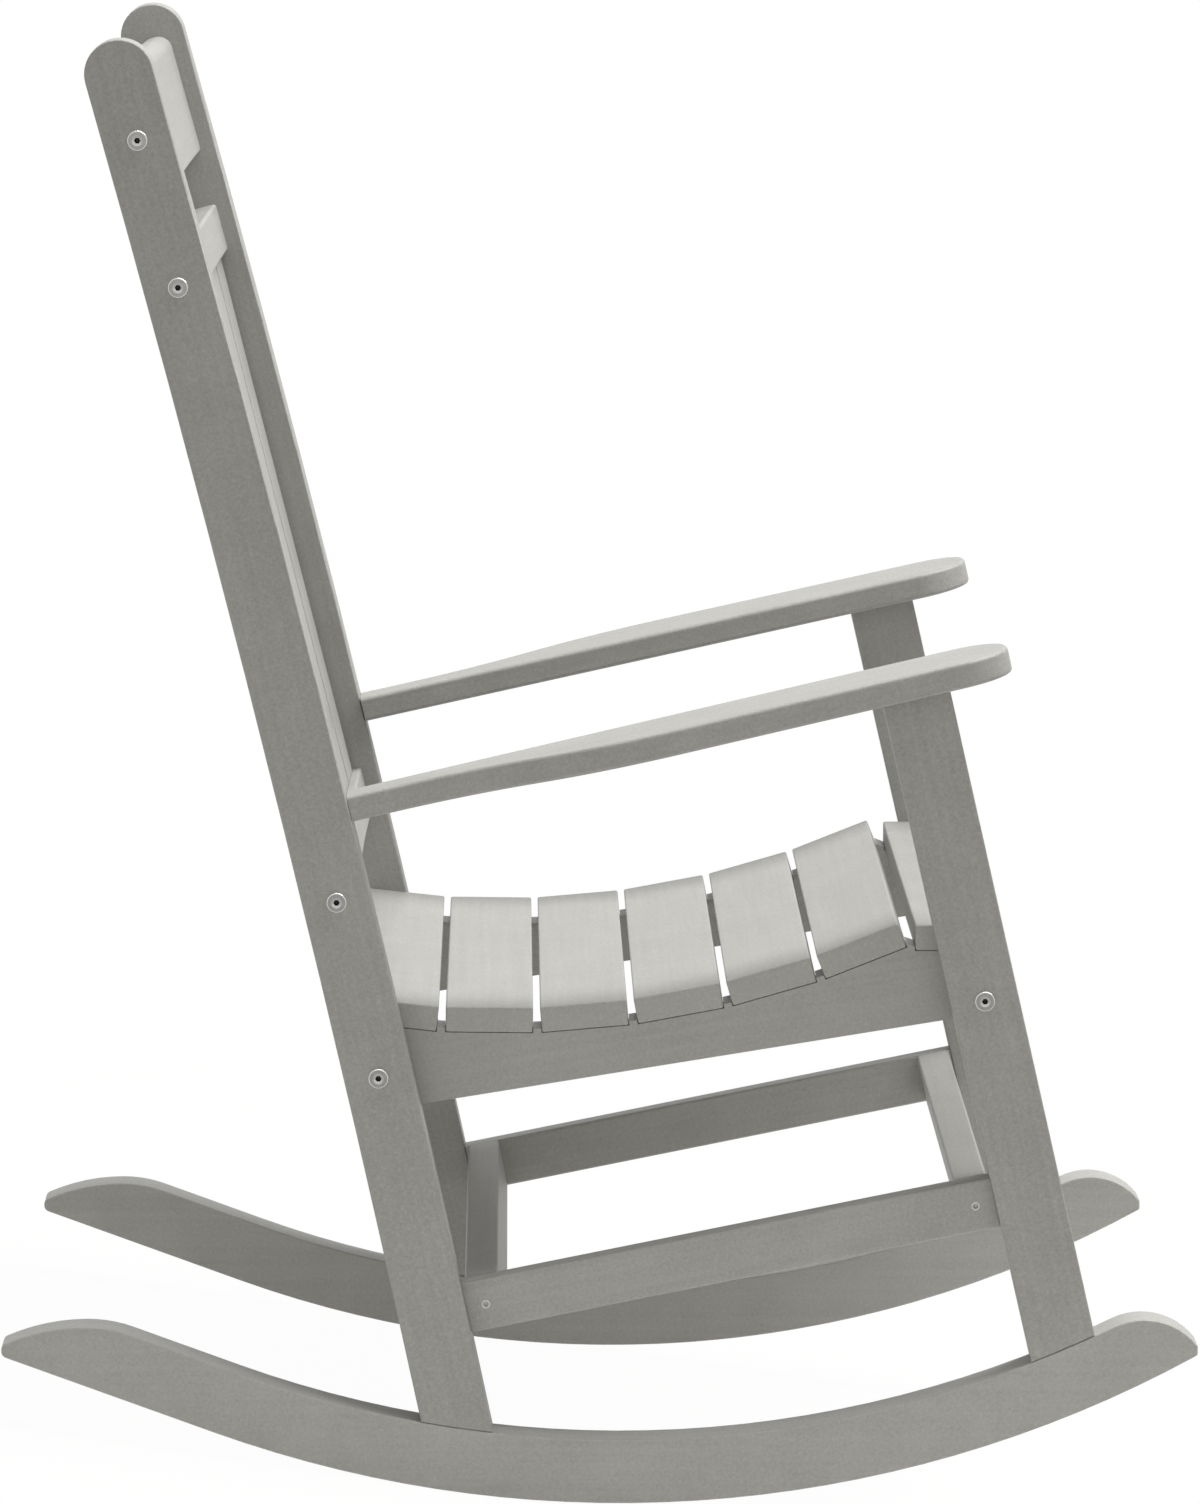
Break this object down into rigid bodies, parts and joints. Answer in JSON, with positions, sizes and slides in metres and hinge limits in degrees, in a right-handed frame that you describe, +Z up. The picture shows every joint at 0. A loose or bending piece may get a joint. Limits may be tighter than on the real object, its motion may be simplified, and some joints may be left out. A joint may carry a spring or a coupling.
{
  "type": "slatted rocking chair",
  "caption": "Slatted porch rocking chair of grey plastic lumber, with flat arms, a hollowed seat, a tall slatted back and curved rockers.",
  "frame": {"origin": "on the floor, midway between the rockers and where they touch it at rest", "axes": "+Z up, the sitter faces -Y, +X across the chair towards the sitter's left"},
  "size_m": [0.6502, 0.9417, 1.0239],
  "materials": {
    "lumber": "warm grey plastic lumber with a fine speckle",
    "steel": "plain stainless steel"
  },
  "bodies": {
    "root": {"arm_end_screws": "steel", "arm_left": "lumber", "arm_plugs": "lumber", "arm_right": "lumber", "arm_screws": "steel", "back_post_left": "lumber", "back_post_right": "lumber", "back_slat_1": "lumber", "back_slat_2": "lumber", "back_slat_3": "lumber", "back_slat_4": "lumber", "back_slat_5": "lumber", "back_slat_6": "lumber", "back_slat_7": "lumber", "cross_stretcher_screws": "steel", "frame_bolts": "steel", "front_cross_stretcher": "lumber", "front_leg_left": "lumber", "front_leg_right": "lumber", "head_rail": "lumber", "lower_back_rail": "lumber", "rear_cross_stretcher": "lumber", "rocker_left": "lumber", "rocker_right": "lumber", "rocker_screws": "steel", "seat_rail_left": "lumber", "seat_rail_right": "lumber", "seat_slat_1": "lumber", "seat_slat_2": "lumber", "seat_slat_3": "lumber", "seat_slat_4": "lumber", "seat_slat_5": "lumber", "seat_slat_6": "lumber", "seat_slat_7": "lumber", "seat_slat_screws": "steel", "side_stretcher_left": "lumber", "side_stretcher_right": "lumber", "stretcher_end_screws": "steel", "threaded_inserts": "steel", "upper_back_rail": "lumber"}
  },
  "joints": []
}
